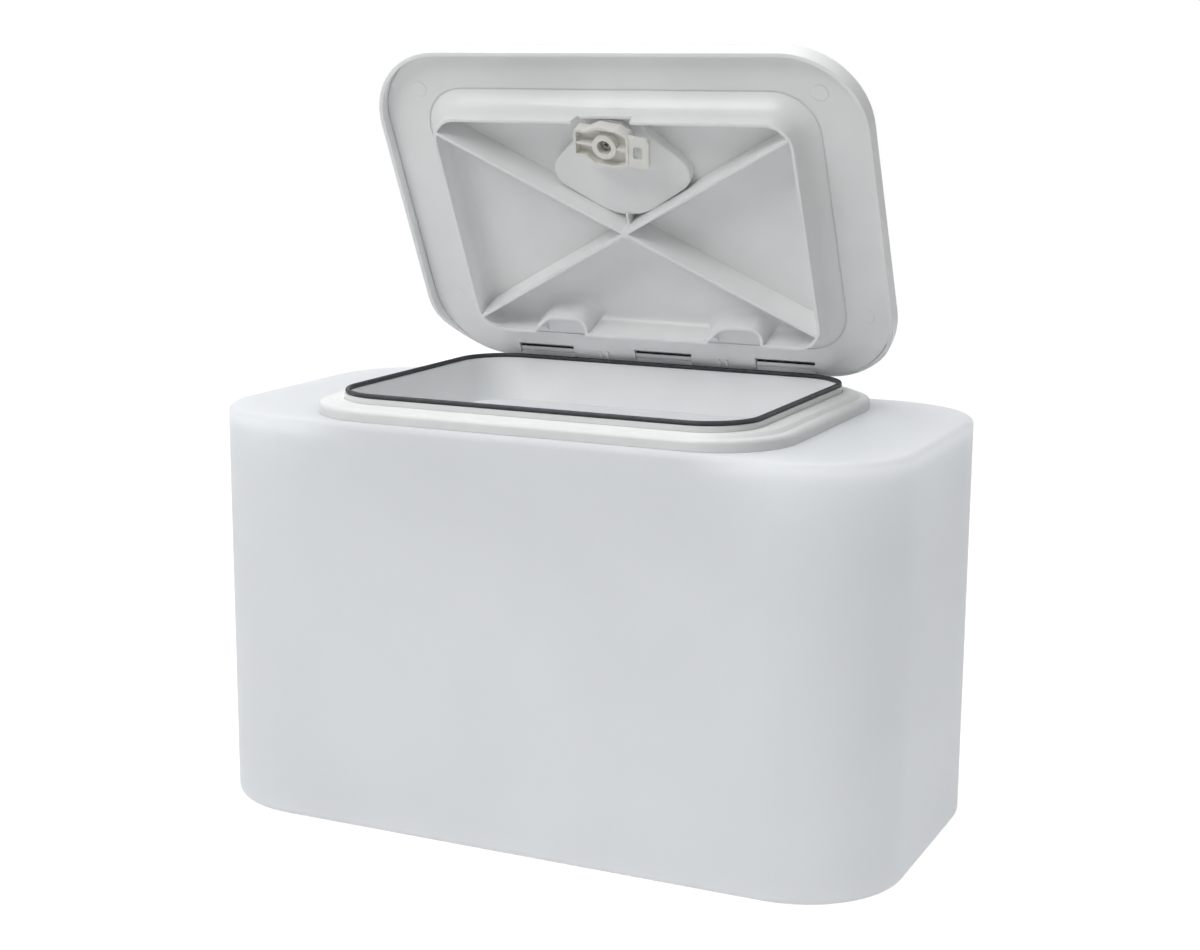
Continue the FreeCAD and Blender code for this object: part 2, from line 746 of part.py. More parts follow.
def cove_face(x, grow, drop):
    """Outline of one hollow, grown on every side, as a level face."""
    rim = BOX_MIDDLE - BOX_FOOT_DEPTH / 2 + BOX_SLOPE
    behind = rim - 2 * BOX_SLOPE
    corners = [
        (x, behind, COVE_FOOT_R),
        (x, rim, COVE_FOOT_R),
        (x + COVE_SHOULDER, rim + COVE_DEPTH, COVE_SHOULDER_R),
        (x + COVE_WIDTH, rim + COVE_DEPTH, COVE_CREST_R),
        (x + COVE_WIDTH, behind, COVE_FOOT_R),
    ]
    placed = [(corner_x, HINGE_Y - reach, radius) for corner_x, reach, radius in corners]
    face = Part.Face(rounded_polygon(placed, HINGE_Z - drop))
    if grow:
        face = face.makeOffset2D(grow)
    return face


def coves():
    """Both hollows as solids to cut from the outside of the box."""
    height = RIM_FACE + BOX_WALL - LINER_FACE
    faces = [cove_face(x, 0, RIM_FACE + BOX_WALL) for x in (COVE_LEFT_X, COVE_RIGHT_X)]
    return [face.extrude(Vector(0, 0, height)) for face in faces]


def box_void():
    """Space inside the box: rounded out to its floor, and kept off the hollows by a wall."""
    lean = BOX_DRAFT / (BOX_HEIGHT + BOX_WALL)
    wires = []
    for drop, rounding in void_steps():
        inset = BOX_SLOPE + BOX_WALL - lean * (RIM_FACE + BOX_WALL - drop) + rounding
        wires.append(box_wire(drop, inset))
    void = Part.makeLoft(wires, True, True)
    for x in (COVE_LEFT_X, COVE_RIGHT_X):
        sections = [cove_face(x, BOX_WALL + rounding, drop).OuterWire for drop, rounding in void_steps()]
        void = void.cut(Part.makeLoft(sections, True, True))
    return void


def box_rib(side):
    """One of the two ribs from corner to corner, thicker at its foot."""
    rim_x = BOX_FOOT_LENGTH / 2 - BOX_SLOPE
    rim_y = BOX_FOOT_DEPTH / 2 - BOX_SLOPE
    lean = degrees(atan2(rim_y - BOX_RIM_CORNER / 2, rim_x))
    middle = Vector(0, HINGE_Y - BOX_MIDDLE, 0)
    corners = []
    for across, drop in (
        (-RIB_FOOT / 2, LINER_FACE),
        (RIB_FOOT / 2, LINER_FACE),
        (RIB_THICK / 2, RIM_FACE),
        (-RIB_THICK / 2, RIM_FACE),
    ):
        corners.append(Vector(-BOX_FOOT_LENGTH, middle.y + across, HINGE_Z - drop))
    rib = Part.Face(Part.makePolygon(corners + corners[:1])).extrude(Vector(2 * BOX_FOOT_LENGTH, 0, 0))
    rib.rotate(middle, Vector(0, 0, 1), side * lean)
    return rib


def cam_notch():
    """Cut in the front of the box, open to the left, that the cam turns through."""
    low = BOSS_FACE + NOTCH_CLEAR
    high = RIM_FACE + 1
    front = HINGE_Y - BOX_MIDDLE - BOX_FOOT_DEPTH / 2
    corners = [
        Vector(-NOTCH_LEFT, front, HINGE_Z - low),
        Vector(NOTCH_RIGHT, front, HINGE_Z - low),
        Vector(NOTCH_RIGHT, front, HINGE_Z - high),
        Vector(-NOTCH_LEFT - NOTCH_LEAN, front, HINGE_Z - high),
    ]
    face = Part.Face(Part.makePolygon(corners + corners[:1]))
    return face.extrude(Vector(0, HUB_INSET - BOSS_OUTER_R + NOTCH_LEAN, 0))


def liner_box():
    """Raised box of the liner with its two crossing ribs."""
    outer = box_outside().cut(coves())
    walls = outer.cut(box_void())
    ribs = [box_rib(side).common(outer) for side in (-1, 1)]
    hub = lid_disc(RIB_HUB_R, BOX_MIDDLE, LINER_FACE, RIM_FACE)
    web_end = BOX_MIDDLE + WEB_REACH
    web = lid_box(-WEB_THICK / 2, WEB_THICK / 2, BOX_MIDDLE, web_end, LINER_FACE, PAN_FACE + WEB_RISE)
    return joined([walls, hub, web] + ribs).cut(cam_notch())


def foot_groove():
    """Shallow groove in the plate round the foot of the box."""
    wires = [box_wire(LINER_FACE, inset) for inset in (0, FOOT_GROOVE)]
    ring = Part.Face(wires[0]).cut(Part.Face(wires[1]))
    return ring.extrude(Vector(0, 0, FOOT_GROOVE_DEPTH))


def lid_liner():
    """Inner moulding of the lid: plate, raised box, crossed ribs, handle pocket and hinge ears."""
    plate = rounded_block(
        LID_LENGTH - 2 * (LID_WALL + LINER_GAP),
        LID_DEPTH - 2 * (LID_WALL + LINER_GAP),
        LID_CORNER - LID_WALL - LINER_GAP,
        HINGE_Z - LINER_FACE,
        HINGE_Z - LINER_BACK,
        LID_Y,
    )
    half = LUG_WIDTH / 2 + LUG_GAP
    slots = []
    ears = []
    for x in HINGE_PLACES.values():
        slots.append(lid_box(x - half, x + half, -LID_REAR, SLOT_FRONT, -LID_TOP, RIM_FACE))
        for start in (x - half - EAR_WIDTH, x + half):
            base = Vector(start, HINGE_Y, HINGE_Z)
            ears.append(Part.makeCylinder(EYE_R, EAR_WIDTH, base, Vector(1, 0, 0)))
            ears.append(lid_box(start, start + EAR_WIDTH, 0, SLOT_FRONT, 0, LINER_FACE))
    posts = []
    for x in (-HINGE_PITCH / 2, HINGE_PITCH / 2):
        for side in (-1, 1):
            left = x + side * POST_SPREAD - POST_THICK / 2
            end = LINER_FACE + POST_RISE
            posts.append(lid_box(left, left + POST_THICK, -POST_BACK, POST_FRONT, LINER_FACE, end))
    marks = [lid_disc(MARK_R, reach, LINER_FACE, LINER_FACE + MARK_RISE, x) for x, reach in mark_places()]
    kite = lid_prism(pan_corners(), 0, SKIN_UNDER, PAN_FACE)
    well = lid_disc(POCKET_R + POCKET_WALL, HUB_REACH, SKIN_UNDER, PAN_FACE)
    pan = joined([kite, well])
    pan = pan.makeFillet(POCKET_ROUND, level_edges(pan, HINGE_Z - PAN_FACE))
    boss = lid_disc(BOSS_OUTER_R, HUB_REACH, PAN_FACE, BOSS_FACE)
    body = joined([plate, liner_box(), pan, boss] + ears + posts + marks)
    bores = [pocket_void(-LID_TOP), foot_groove()]
    bores.append(lid_disc(SPINDLE_R + SPINDLE_GAP + BUSH_WALL, HUB_REACH, 0, BOSS_FACE + 1))
    for x in HINGE_PLACES.values():
        start = Vector(x - LUG_WIDTH, HINGE_Y, HINGE_Z)
        bores.append(Part.makeCylinder(ROD_R, 2 * LUG_WIDTH, start, Vector(1, 0, 0)))
    return swung(body.cut(slots + bores))


def hub_turned(profile):
    """Piece turned about the hub; distances are drops below the hinge line."""
    flipped = [(radius, -drop) for radius, drop in profile]
    place = Vector(0, HINGE_Y - HUB_REACH, HINGE_Z)
    return turned(flipped, place, Vector(0, 0, 1))


def latch_placed(shape):
    """Turns a latch piece from square with the lid to its unlatched rest, then opens the lid."""
    shape.rotate(Vector(0, HINGE_Y - HUB_REACH, HINGE_Z), Vector(0, 0, 1), CAM_TILT)
    return swung(shape)


def spindle_bush():
    inner = SPINDLE_R + SPINDLE_GAP
    outer = inner + BUSH_WALL
    profile = [
        (inner, POCKET_TOP),
        (outer, POCKET_TOP),
        (outer, BOSS_FACE),
        (BUSH_FLANGE_R, BOSS_FACE),
        (BUSH_FLANGE_R, BUSH_END),
        (inner, BUSH_END),
    ]
    return swung(hub_turned(profile))


def handle_back():
    """Drop of the knob's underside, just clear of the pocket's floor."""
    return POCKET_TOP - HANDLE_GAP


def latch_handle():
    """Round knob in the pocket with an upright grip across it."""
    back = handle_back()
    plate_top = back - HANDLE_PLATE
    grip_top = -LID_TOP + HANDLE_GAP
    plate = lid_disc(HANDLE_R, HUB_REACH, plate_top, back)
    plate = plate.makeFillet(HANDLE_ROUND, level_edges(plate, HINGE_Z - plate_top))
    y = HINGE_Y - HUB_REACH
    end_r = 0.49 * GRIP_WIDTH
    taper = 2 * GRIP_TAPER
    foot = rounded_wire(GRIP_LENGTH, GRIP_WIDTH, end_r, HINGE_Z - plate_top, y)
    top = rounded_wire(GRIP_LENGTH - taper, GRIP_WIDTH - taper, end_r - GRIP_TAPER, HINGE_Z - grip_top, y)
    grip = Part.makeLoft([foot, top], True, True)
    grip = grip.makeFillet(GRIP_TAPER, level_edges(grip, HINGE_Z - grip_top))
    socket = lid_disc(SPINDLE_R, HUB_REACH, plate_top - HANDLE_PLATE, back + 1)
    return latch_placed(joined([plate, grip]).cut(socket))


def o_ring_drop():
    """Middle of the spindle's groove, half-way down the bush."""
    return (POCKET_TOP + BOSS_FACE) / 2


def latch_spindle():
    """Round shaft with a groove for its ring and a square end that drives the cam."""
    top = handle_back() - 2 * HANDLE_PLATE
    groove_low = o_ring_drop() - O_RING_R - 0.1
    groove_high = o_ring_drop() + O_RING_R + 0.1
    groove_r = SPINDLE_R - 2 * O_RING_R
    profile = [
        (0, top),
        (SPINDLE_R, top),
        (SPINDLE_R, groove_low),
        (groove_r, groove_low),
        (groove_r, groove_high),
        (SPINDLE_R, groove_high),
        (SPINDLE_R, CAM_BACK),
        (0, CAM_BACK),
    ]
    shaft = hub_turned(profile)
    half = SPINDLE_SQUARE / 2
    square = lid_box(-half, half, HUB_REACH - half, HUB_REACH + half, CAM_BACK, CAM_BACK + CAM_FLOOR)
    thread_top = CAM_BACK + CAM_FLOOR - CAM_SCREW_LENGTH
    thread = lid_disc(CAM_SCREW_R, HUB_REACH, thread_top, CAM_BACK + CAM_FLOOR + 1)
    return latch_placed(joined([shaft, square]).cut(thread))


def spindle_o_ring():
    place = Vector(0, HINGE_Y - HUB_REACH, HINGE_Z - o_ring_drop())
    return latch_placed(Part.makeTorus(SPINDLE_R - O_RING_R, O_RING_R, place, Vector(0, 0, 1)))


def cam_washer():
    low = CAM_BACK - WASHER_THICK
    profile = [(SPINDLE_R, low), (WASHER_R, low), (WASHER_R, CAM_BACK), (SPINDLE_R, CAM_BACK)]
    return latch_placed(hub_turned(profile))


def cam_prism(corners, inset, drop_low, drop_high):
    """Prism on an outline in the cam's own length and width, with its root at the hub."""
    placed = [(x, HUB_REACH + across, radius) for x, across, radius in corners]
    return lid_prism(placed, inset, drop_low, drop_high)


def cam_outline():
    """Outline of the cam's body in its own length and width, the same on both sides."""
    half = [
        (CAM_HEAD_X, CAM_HEAD_HALF, CAM_TAB_R),
        (CAM_WAIST_X, CAM_WAIST_HALF, CAM_WAIST_R),
        (-CAM_BACK_X, CAM_WAIST_HALF, CAM_WAIST_R),
        (-CAM_NECK_X, CAM_TAIL_HALF, CAM_NECK_R),
        (-CAM_TAIL_X, CAM_TAIL_HALF, CAM_TAIL_R),
    ]
    other = [(x, -across, radius) for x, across, radius in reversed(half)]
    return half + other


def cam_rectangle(x_low, x_high, half, low_radius, high_radius):
    return [
        (x_high, half, high_radius),
        (x_low, half, low_radius),
        (x_low, -half, low_radius),
        (x_high, -half, high_radius),
    ]


def latch_cam():
    """Ribbed cam: a floor, a rim, a ringed hub and a flat tab with a window."""
    floor = CAM_BACK + CAM_FLOOR
    body = cam_prism(cam_outline(), 0, CAM_BACK, CAM_FACE)
    hollow = cam_prism(cam_outline(), CAM_WALL, floor, CAM_FACE + 1)
    hub = lid_disc(CAM_HUB_R, HUB_REACH, CAM_BACK, CAM_FACE)
    tab_root = CAM_HEAD_X - CAM_TAB_ROOT
    tail = 1 - CAM_TAIL_X
    side = CAM_SPINE / 2
    spine = lid_box(tail, tab_root, HUB_REACH - side, HUB_REACH + side, CAM_BACK, CAM_FACE - CAM_SPINE_LOW)
    tab_outline = cam_rectangle(tab_root, CAM_REACH, CAM_HEAD_HALF, CAM_SPINE_LOW, CAM_TAB_R)
    tab = cam_prism(tab_outline, 0, TAB_BACK, TAB_BACK + CAM_TAB)
    window_low = WINDOW_X - WINDOW_HALF_X
    window_outline = cam_rectangle(window_low, window_low + 2 * WINDOW_HALF_X, WINDOW_HALF, WINDOW_R, WINDOW_R)
    window = cam_prism(window_outline, 0, TAB_BACK - 1, TAB_BACK + CAM_TAB + 1)
    well = lid_disc(CAM_WELL_R, HUB_REACH, floor, CAM_FACE + 1)
    half = SPINDLE_SQUARE / 2
    drive = lid_box(-half, half, HUB_REACH - half, HUB_REACH + half, CAM_BACK - 1, CAM_FACE)
    cam = joined([body.cut(hollow), hub, spine, tab])
    return latch_placed(cam.cut([window, well, drive]))


def cam_screw():
    """Pan-head screw down the cam's well into the spindle."""
    seat = CAM_BACK + CAM_FLOOR
    profile = [
        (0, seat - CAM_SCREW_LENGTH),
        (CAM_SCREW_R, seat - CAM_SCREW_LENGTH),
        (CAM_SCREW_R, seat),
        (CAM_SCREW_HEAD_R, seat),
        (CAM_SCREW_HEAD_R, seat + CAM_SCREW_HEAD - CAM_SCREW_CHAMFER),
        (CAM_SCREW_HEAD_R - CAM_SCREW_CHAMFER, seat + CAM_SCREW_HEAD),
        (0, seat + CAM_SCREW_HEAD),
    ]
    return latch_placed(hub_turned(profile))


def hose_fitting(x, z, tail_radius):
    """Skin fitting: a flange inside the tank, a barrel through the wall and a barbed hose tail."""
    barrel = barrel_radius(tail_radius)
    bore = tail_radius - TAIL_WALL
    inside = -TANK_WALL - FITTING_WASHER
    barrel_end = BOSS_PAD + NUT_THICK + 2
    land_end = barrel_end + TAIL_LAND
    profile = [
        (bore, inside - FITTING_FLANGE),
        (barrel + FITTING_LIP - 2, inside - FITTING_FLANGE),
        (barrel + FITTING_LIP, inside - FITTING_FLANGE + 2),
        (barrel + FITTING_LIP, inside),
        (barrel, inside),
        (barrel, barrel_end),
        (tail_radius, barrel_end),
        (tail_radius, land_end),
    ]
    for barb in range(BARBS):
        root = land_end + barb * BARB_PITCH
        profile.append((tail_radius - BARB_DEPTH, root))
        profile.append((tail_radius - BARB_DEPTH, root + 1))
        profile.append((tail_radius, root + 1.5))
        profile.append((tail_radius, root + 2.5))
        profile.append((tail_radius - BARB_DEPTH, root + BARB_PITCH))
    profile.append((bore, land_end + BARBS * BARB_PITCH))
    return turned(profile, Vector(x, REAR_WALL, z), Vector(0, 1, 0))


def fitting_washer(x, z, barrel):
    """Rubber washer between the inner flange and the tank's wall."""
    profile = [
        (barrel, -TANK_WALL - FITTING_WASHER),
        (barrel + FITTING_LIP - 1, -TANK_WALL - FITTING_WASHER),
        (barrel + FITTING_LIP - 1, -TANK_WALL),
        (barrel, -TANK_WALL),
    ]
    return turned(profile, Vector(x, REAR_WALL, z), Vector(0, 1, 0))


def fitting_nut(x, z, barrel):
    """Six-sided nut outside the wall, with a round flange."""
    start = Vector(x, REAR_WALL + BOSS_PAD, z)
    across_corners = (barrel + NUT_WALL) / cos(pi / 6)
    points = []
    for index in range(6):
        angle = index * pi / 3
        points.append(start + Vector(across_corners * cos(angle), 0, across_corners * sin(angle)))
    hexagon = Part.Face(Part.makePolygon(points + points[:1])).extrude(Vector(0, NUT_THICK, 0))
    rounding = Part.makeCone(across_corners + 2, across_corners - 1.2, NUT_THICK, start, Vector(0, 1, 0))
    flange = Part.makeCylinder(barrel + FITTING_LIP, 2.5, start, Vector(0, 1, 0))
    bore = Part.makeCylinder(barrel, NUT_THICK + 2, start - Vector(0, 1, 0), Vector(0, 1, 0))
    return joined([hexagon.common(rounding), flange]).cut(bore)


def overflow_strainer():
    """Slotted cup over the overflow's flange, inside the tank, that keeps the bait in."""
    flange_r = barrel_radius(OVERFLOW_TAIL_R) + FITTING_LIP
    inner = flange_r
    outer = flange_r + STRAINER_WALL
    seat = -TANK_WALL - FITTING_WASHER - 0.5
    end = seat - STRAINER_LENGTH
    profile = [
        (inner, seat),
        (outer, seat),
        (outer - 1, end + 3),
        (outer - 4, end),
        (0, end),
        (0, end + STRAINER_WALL),
        (inner - 4, end + STRAINER_WALL),
        (inner - 1, end + 4),
        (inner, seat - 2 * FITTING_FLANGE),
    ]
    place = Vector(OVERFLOW_X, REAR_WALL, OVERFLOW_Z)
    cup = turned(profile, place, Vector(0, 1, 0))
    slot_start = end + 6
    slot_end = seat - FITTING_FLANGE - 3
    slots = []
    for index in range(STRAINER_SLOTS):
        slot = box_between(
            -STRAINER_SLOT / 2,
            STRAINER_SLOT / 2,
            slot_start,
            slot_end,
            inner - 6,
            outer + 2,
        )
        slot.rotate(Vector(0, 0, 0), Vector(0, 1, 0), (index + 0.5) * 360 / STRAINER_SLOTS)
        slot.translate(place)
        slots.append(slot)
    return cup.cut(slots)


def drain_barrel():
    return DRAIN_BORE_R + BARREL_WALL


def drain_socket():
    """Flanged socket through the rear wall, low down, that takes the drain bung."""
    barrel = drain_barrel()
    inside = -TANK_WALL - FITTING_WASHER
    end = BOSS_PAD + NUT_THICK + 1
    profile = [
        (DRAIN_BORE_R, inside - FITTING_FLANGE),
        (barrel + FITTING_LIP - 2, inside - FITTING_FLANGE),
        (barrel + FITTING_LIP, inside - FITTING_FLANGE + 2),
        (barrel + FITTING_LIP, inside),
        (barrel, inside),
        (barrel, end),
        (DRAIN_BORE_R, end),
    ]
    return turned(profile, Vector(0, REAR_WALL, DRAIN_Z), Vector(0, 1, 0))


def bung_groove():
    """Distance of the bung's ring groove from the wall's outer face."""
    return -TANK_WALL / 2


def drain_bung():
    """Push-in bung with a ring groove, a stop flange and a grip to pull it by."""
    radius = DRAIN_BORE_R - BUNG_GAP
    head = BOSS_PAD + NUT_THICK + 1 + LINER_GAP
    inner_end = head - BUNG_LENGTH
    groove = bung_groove()
    half = O_RING_R * 1.4 + 0.1
    depth = 2.8 * O_RING_R
    profile = [
        (0, inner_end),
        (radius - 1, inner_end),
        (radius, inner_end + 1),
        (radius, groove - half),
        (radius - depth, groove - half),
        (radius - depth, groove + half),
        (radius, groove + half),
        (radius, head),
        (BUNG_HEAD_R, head),
        (BUNG_HEAD_R, head + BUNG_HEAD - 1),
        (BUNG_HEAD_R - 1, head + BUNG_HEAD),
        (0, head + BUNG_HEAD),
    ]
    place = Vector(0, REAR_WALL, DRAIN_Z)
    body = turned(profile, place, Vector(0, 1, 0))
    grip = box_between(
        -BUNG_HEAD_R + 3,
        BUNG_HEAD_R - 3,
        head + BUNG_HEAD,
        head + BUNG_HEAD + BUNG_GRIP,
        -BUNG_GRIP_THICK / 2,
        BUNG_GRIP_THICK / 2,
    )
    grip = grip.makeFillet(2.0, grip.Edges)
    root = box_between(
        -BUNG_HEAD_R + 4,
        BUNG_HEAD_R - 4,
        head + BUNG_HEAD - 1,
        head + BUNG_HEAD + 4,
        -BUNG_GRIP_THICK / 2 + 0.5,
        BUNG_GRIP_THICK / 2 - 0.5,
    )
    grip.translate(place)
    root.translate(place)
    return joined([body, grip, root])


def bung_o_ring():
    section = 1.4 * O_RING_R
    place = Vector(0, REAR_WALL + bung_groove(), DRAIN_Z)
    major = DRAIN_BORE_R - BUNG_GAP - section
    return Part.makeTorus(major, section, place, Vector(0, 1, 0))


def build():
    save("tank_shell", tank_shell())
    save("frame_bedding_seal", frame_bedding_seal())
    save("hatch_frame", hatch_frame())
    save("frame_screws", frame_screws())
    save("frame_trim_ring", frame_trim_ring())
    save("lid_seal", lid_seal())
    for name, x in HINGE_PLACES.items():
        save("hinge_rod_" + name, hinge_rod(x))
    save("lid_cover", lid_cover())
    save("lid_liner", lid_liner())
    save("spindle_bush", spindle_bush())
    save("latch_handle", latch_handle())
    save("latch_spindle", latch_spindle())
    save("spindle_o_ring", spindle_o_ring())
    save("cam_washer", cam_washer())
    save("latch_cam", latch_cam())
    save("cam_screw", cam_screw())
    save("inlet_fitting", hose_fitting(INLET_X, INLET_Z, INLET_TAIL_R))
    save("inlet_washer", fitting_washer(INLET_X, INLET_Z, barrel_radius(INLET_TAIL_R)))
    save("inlet_nut", fitting_nut(INLET_X, INLET_Z, barrel_radius(INLET_TAIL_R)))
    save("overflow_fitting", hose_fitting(OVERFLOW_X, OVERFLOW_Z, OVERFLOW_TAIL_R))
    save("overflow_washer", fitting_washer(OVERFLOW_X, OVERFLOW_Z, barrel_radius(OVERFLOW_TAIL_R)))
    save("overflow_nut", fitting_nut(OVERFLOW_X, OVERFLOW_Z, barrel_radius(OVERFLOW_TAIL_R)))
    save("overflow_strainer", overflow_strainer())
    save("drain_socket", drain_socket())
    save("drain_washer", fitting_washer(0.0, DRAIN_Z, drain_barrel()))
    save("drain_nut", fitting_nut(0.0, DRAIN_Z, drain_barrel()))
    save("drain_bung", drain_bung())
    save("bung_o_ring", bung_o_ring())


build()
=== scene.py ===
# %% [markdown]
# # Live bait well
# A white moulded tank that keeps bait fish alive on a boat, with a marine access hatch let
# into its top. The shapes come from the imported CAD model, which is loaded as a fixed frame.
# This lesson gives each part of it the finish of the real substance, models the small
# details that CAD leaves plain, and photographs the whole on a pale floor.

# %% Load the frame
import json
import math

import bpy
from mathutils import Matrix, Vector


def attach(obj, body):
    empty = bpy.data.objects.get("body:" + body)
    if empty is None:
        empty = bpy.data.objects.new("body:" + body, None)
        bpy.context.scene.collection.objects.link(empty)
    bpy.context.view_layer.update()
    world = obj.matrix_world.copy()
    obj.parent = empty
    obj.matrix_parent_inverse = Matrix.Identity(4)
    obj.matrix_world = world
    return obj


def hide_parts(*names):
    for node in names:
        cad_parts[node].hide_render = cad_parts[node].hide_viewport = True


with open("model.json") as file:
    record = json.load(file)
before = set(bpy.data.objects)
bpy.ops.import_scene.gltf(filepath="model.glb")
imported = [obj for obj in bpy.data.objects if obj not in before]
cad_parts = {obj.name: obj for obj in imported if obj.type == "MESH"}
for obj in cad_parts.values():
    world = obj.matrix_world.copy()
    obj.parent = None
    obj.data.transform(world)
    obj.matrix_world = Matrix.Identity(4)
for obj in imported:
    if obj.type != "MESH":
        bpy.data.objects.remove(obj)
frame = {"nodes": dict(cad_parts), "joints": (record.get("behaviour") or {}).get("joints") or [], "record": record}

scene = bpy.context.scene
nodes = frame["nodes"]
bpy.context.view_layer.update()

# %% [markdown]
# ## The camera
# The photograph was taken from the right of the tank's middle and a little above its rim,
# with a long lens, so the verticals hardly lean. The place and the lens were solved from
# the tank's corners, the mouth and the lid's outline. The camera could be pointed by a
# track constraint, but its three axes written out leave nothing to drift.

# %% Camera
CAMERA_PLACE = Vector((0.60018, -1.28199, 0.51937))
CAMERA_LENS_MM = 60.819
AZIMUTH = math.radians(24.97)
ELEVATION = math.radians(11.21)
ROLL = math.radians(0.36)

back = Vector((
    math.sin(AZIMUTH) * math.cos(ELEVATION),
    -math.cos(AZIMUTH) * math.cos(ELEVATION),
    math.sin(ELEVATION),
))
level_right = Vector((math.cos(AZIMUTH), math.sin(AZIMUTH), 0))
level_up = back.cross(level_right)
right = level_right * math.cos(ROLL) + level_up * math.sin(ROLL)
up = level_up * math.cos(ROLL) - level_right * math.sin(ROLL)

camera = bpy.data.objects.new("camera", bpy.data.cameras.new("camera"))
scene.collection.objects.link(camera)
camera.data.lens = CAMERA_LENS_MM
camera.data.sensor_width = 36
camera.data.clip_end = 50
camera.matrix_world = Matrix.Translation(CAMERA_PLACE) @ Matrix((right, up, back)).transposed().to_4x4()
scene.camera = camera
print("camera", round(CAMERA_PLACE.length, 3), "m from the origin, lens", CAMERA_LENS_MM)

# %% [markdown]
# ## Two helpers for finishes
# Paint and plastic are matched on a screen, in sRGB, while a renderer works with light, so one function turns a
# hex value into linear light. Every finish is a small tree of nodes, and the second function adds any node with
# its settings and its links in one line. A number that holds for the whole surface is set on the shader's own
# socket.

# %% Colour and node helpers
MM = 0.001


def linear(code):
    """A six-figure sRGB hex value as linear light, with alpha."""
    parts = [int(code[i:i + 2], 16) / 255 for i in (0, 2, 4)]
    return [p / 12.92 if p <= 0.04045 else ((p + 0.055) / 1.055) ** 2.4 for p in parts] + [1.0]


def add(tree, kind, settings=None, values=None, links=None):
    """Adds a shader node, sets its properties and input values, and links its inputs."""
    node = tree.nodes.new("ShaderNode" + kind)
    for name, value in (settings or {}).items():
        setattr(node, name, value)
    for name, value in (values or {}).items():
        node.inputs[name].default_value = value
    for name, source in (links or {}).items():
        tree.links.new(source, node.inputs[name])
    return node


def start_finish(name, values):
    """A new material with its shader's constants set, its tree, and its object coordinates."""
    material = bpy.data.materials.new(name)
    material.use_nodes = True
    tree = material.node_tree
    shader = tree.nodes["Principled BSDF"]
    for socket, value in values.items():
        shader.inputs[socket].default_value = value
    place = add(tree, "TexCoord").outputs["Object"]
    return material, tree, shader, place


def pattern(tree, place, size_mm, detail=2.0, roughness=0.5):
    """Soft noise whose lumps are about size_mm across."""
    return add(tree, "TexNoise", None,
               {"Scale": 1 / (size_mm * MM), "Detail": detail, "Roughness": roughness},
               {"Vector": place}).outputs["Fac"]


def between(tree, factor, low, high):
    """A factor from 0 to 1 spread over the numbers low to high."""
    return add(tree, "MapRange", None, {"From Min": 0.3, "From Max": 0.7, "To Min": low, "To Max": high},
               {"Value": factor}).outputs["Result"]


def two_tone(tree, factor, first, second):
    """A colour that runs from one hex value to another."""
    mix = add(tree, "Mix", {"data_type": "RGBA"}, None, {"Factor": factor})
    colours = [s for s in mix.inputs if s.type == "RGBA"]
    colours[0].default_value = linear(first)
    colours[1].default_value = linear(second)
    return [s for s in mix.outputs if s.type == "RGBA"][0]


def relief(tree, height, depth_mm, shader, before=None):
    """Bumps the shader's surface by a height pattern of the given depth."""
    links = {"Height": height}
    if before:
        links["Normal"] = before
    bump = add(tree, "Bump", None, {"Strength": 1.0, "Distance": depth_mm * MM}, links)
    tree.links.new(bump.outputs["Normal"], shader.inputs["Normal"])
    return bump.outputs["Normal"]


print("white paper is", [round(c, 3) for c in linear("f4f4f2")])

# %% [markdown]
# ## Tank: rotomoulded polyethylene
# The tank is cast by turning polyethylene powder in a hot mould. The skin that was against
# the mould is satin, with a shallow orange peel of lumps two or three millimetres across,
# and the wall is milky: light goes in a little way and comes out softened, with faint
# clouds where the wall is thicker. Some of it goes right through, so the inside of the
# closed tank is bright. Subsurface scattering of a few millimetres gives the milkiness, a
# translucent share the glow inside, a wide noise the clouds, and a fine bump the orange
# peel. Skin this dull shines less than its index says, so the specular level is low.

# %% Rotomoulded polyethylene
LIGHT_THROUGH_WALL = 0.62

tank_finish, tree, shader, place = start_finish("rotomoulded_polyethylene", {
    "IOR": 1.51,
    "Specular IOR Level": 0.3,
    "Subsurface Weight": 0.85,
    "Subsurface Radius": (1.0, 1.0, 1.0),
    "Subsurface Scale": 9 * MM,
})
clouds = pattern(tree, place, 90, 3.0)
tree.links.new(two_tone(tree, between(tree, clouds, 0, 1), "e4e5e6", "eaebec"), shader.inputs["Base Color"])
tree.links.new(between(tree, pattern(tree, place, 25), 0.3, 0.36), shader.inputs["Roughness"])
peel = relief(tree, pattern(tree, place, 2.6, 1.0), 0.05, shader)
relief(tree, pattern(tree, place, 0.6, 1.0), 0.006, shader, peel)
through = add(tree, "BsdfTranslucent", None, {"Color": linear("fafbfc")})
wall = add(tree, "MixShader", None, {"Fac": LIGHT_THROUGH_WALL}, {1: shader.outputs[0], 2: through.outputs[0]})
tree.links.new(wall.outputs[0], tree.nodes["Material Output"].inputs["Surface"])
print(tank_finish.name, "made")

# %% [markdown]
# ## Hatch: moulded acrylonitrile styrene acrylate
# Marine hatches are injection moulded in a weather-proof cousin of ABS. A polished steel
# mould leaves a smooth white skin with a very faint ripple where the plastic cooled. The
# ripple breaks up the highlights. Light travels a few millimetres inside the plastic, which
# lifts its shaded sides. Edges that CAD leaves sharp are rounded to under a millimetre by a
# bevel on the normals, as a mould's edges are.

# %% Smooth moulded plastic
MOULD_EDGE_MM = 0.7

